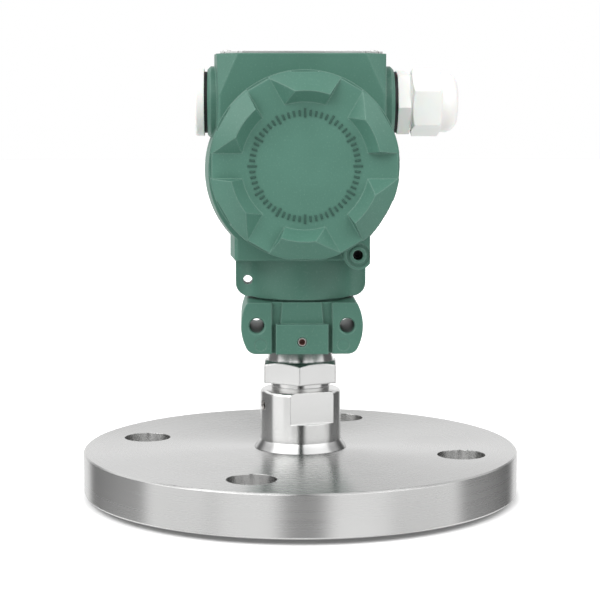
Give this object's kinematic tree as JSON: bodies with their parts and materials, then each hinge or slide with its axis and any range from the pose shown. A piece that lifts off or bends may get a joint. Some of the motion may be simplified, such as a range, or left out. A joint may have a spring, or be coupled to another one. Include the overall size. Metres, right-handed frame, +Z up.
{
  "type": "flange pressure transmitter",
  "caption": "Pressure transmitter with a field housing under screwed covers, a cable gland and a plug, on a hexagon neck above a round bolted process flange.",
  "frame": {"origin": "on the flange's axis at the raised face, bottom centre of the bounding box", "axes": "+Z up along the flange's axis, -Y towards the front cover, +X towards the cable gland"},
  "size_m": [0.165, 0.165, 0.1684],
  "materials": {
    "green_coat": "powder-coated casting",
    "turned_steel": "turned",
    "bright_steel": "milled",
    "thin_steel": "rolled sheet",
    "screw_steel": "zinc plated",
    "white_plastic": "moulded nylon",
    "black_rubber": "matt",
    "board": "coated board",
    "black_plastic": "moulded",
    "brass": "plain"
  },
  "bodies": {
    "process_side": {"flange": "turned_steel", "process_diaphragm": "thin_steel", "process_adapter": "turned_steel", "fill_screw": "screw_steel", "adapter_seal": "thin_steel", "sensor_body": "bright_steel", "pressure_cell": "bright_steel", "cell_oring": "black_rubber", "cell_retainer": "brass", "neck_oring": "black_rubber"},
    "housing": {"housing": "green_coat", "housing_lock_screw": "screw_steel", "front_cover_lock_screw": "screw_steel", "rear_cover_lock_screw": "screw_steel", "name_plate": "thin_steel", "name_plate_rivets": "bright_steel", "circuit_board": "board", "board_components": "black_plastic", "board_screws": "screw_steel", "wire_grommet": "black_rubber", "terminal_block": "black_plastic", "terminal_screws": "brass", "terminal_block_screws": "screw_steel", "ground_screw": "brass"},
    "front_cover_seal": {"front_cover_oring": "black_rubber"},
    "front_cover": {"front_cover": "green_coat"},
    "rear_cover_seal": {"rear_cover_oring": "black_rubber"},
    "rear_cover": {"rear_cover": "green_coat"},
    "plug_seal": {"plug_seal": "black_rubber"},
    "blanking_plug": {"blanking_plug": "white_plastic"},
    "gland_seat_seal": {"gland_oring": "black_rubber"},
    "gland_body": {"gland_body": "white_plastic"},
    "cable_seal": {"gland_seal": "black_rubber"},
    "gland_nut": {"gland_nut": "white_plastic"}
  },
  "joints": [
    {"name": "housing_turn", "type": "hinge", "parent": "process_side", "child": "housing", "pos_m": [0, 0, 0.0564], "axis": [0, 0, 1], "range_deg": [-180, 180]},
    {"name": "front_cover_travel", "type": "slide", "parent": "housing", "child": "front_cover_seal", "axis": [0, -1, 0], "range_m": [0, 0.0141]},
    {"name": "front_cover_turn", "type": "hinge", "parent": "front_cover_seal", "child": "front_cover", "pos_m": [0, -0.04, 0.1268], "axis": [0, -1, 0], "range_deg": [0, 2520]},
    {"name": "rear_cover_travel", "type": "slide", "parent": "housing", "child": "rear_cover_seal", "axis": [0, 1, 0], "range_m": [0, 0.0141]},
    {"name": "rear_cover_turn", "type": "hinge", "parent": "rear_cover_seal", "child": "rear_cover", "pos_m": [0, 0.04, 0.1268], "axis": [0, 1, 0], "range_deg": [0, 2520]},
    {"name": "blanking_plug_travel", "type": "slide", "parent": "housing", "child": "plug_seal", "axis": [-1, 0, 0], "range_m": [0, 0.0121]},
    {"name": "blanking_plug_turn", "type": "hinge", "parent": "plug_seal", "child": "blanking_plug", "pos_m": [-0.0347, 0, 0.1489], "axis": [-1, 0, 0], "range_deg": [0, 2880]},
    {"name": "gland_body_travel", "type": "slide", "parent": "housing", "child": "gland_seat_seal", "axis": [1, 0, 0], "range_m": [0, 0.0121]},
    {"name": "gland_body_turn", "type": "hinge", "parent": "gland_seat_seal", "child": "gland_body", "pos_m": [0.0347, 0, 0.1489], "axis": [1, 0, 0], "range_deg": [0, 2880]},
    {"name": "gland_nut_travel", "type": "slide", "parent": "gland_body", "child": "cable_seal", "axis": [1, 0, 0], "range_m": [0, 0.0091]},
    {"name": "gland_nut_turn", "type": "hinge", "parent": "cable_seal", "child": "gland_nut", "pos_m": [0.0347, 0, 0.1489], "axis": [1, 0, 0], "range_deg": [0, 2160]}
  ],
  "couplings": [
    {"joint": "front_cover_travel", "follows": "front_cover_turn", "m_per_rad": 0.00031831},
    {"joint": "rear_cover_travel", "follows": "rear_cover_turn", "m_per_rad": 0.00031831},
    {"joint": "blanking_plug_travel", "follows": "blanking_plug_turn", "m_per_rad": 0.00023873},
    {"joint": "gland_body_travel", "follows": "gland_body_turn", "m_per_rad": 0.00023873},
    {"joint": "gland_nut_travel", "follows": "gland_nut_turn", "m_per_rad": 0.00023873}
  ]
}
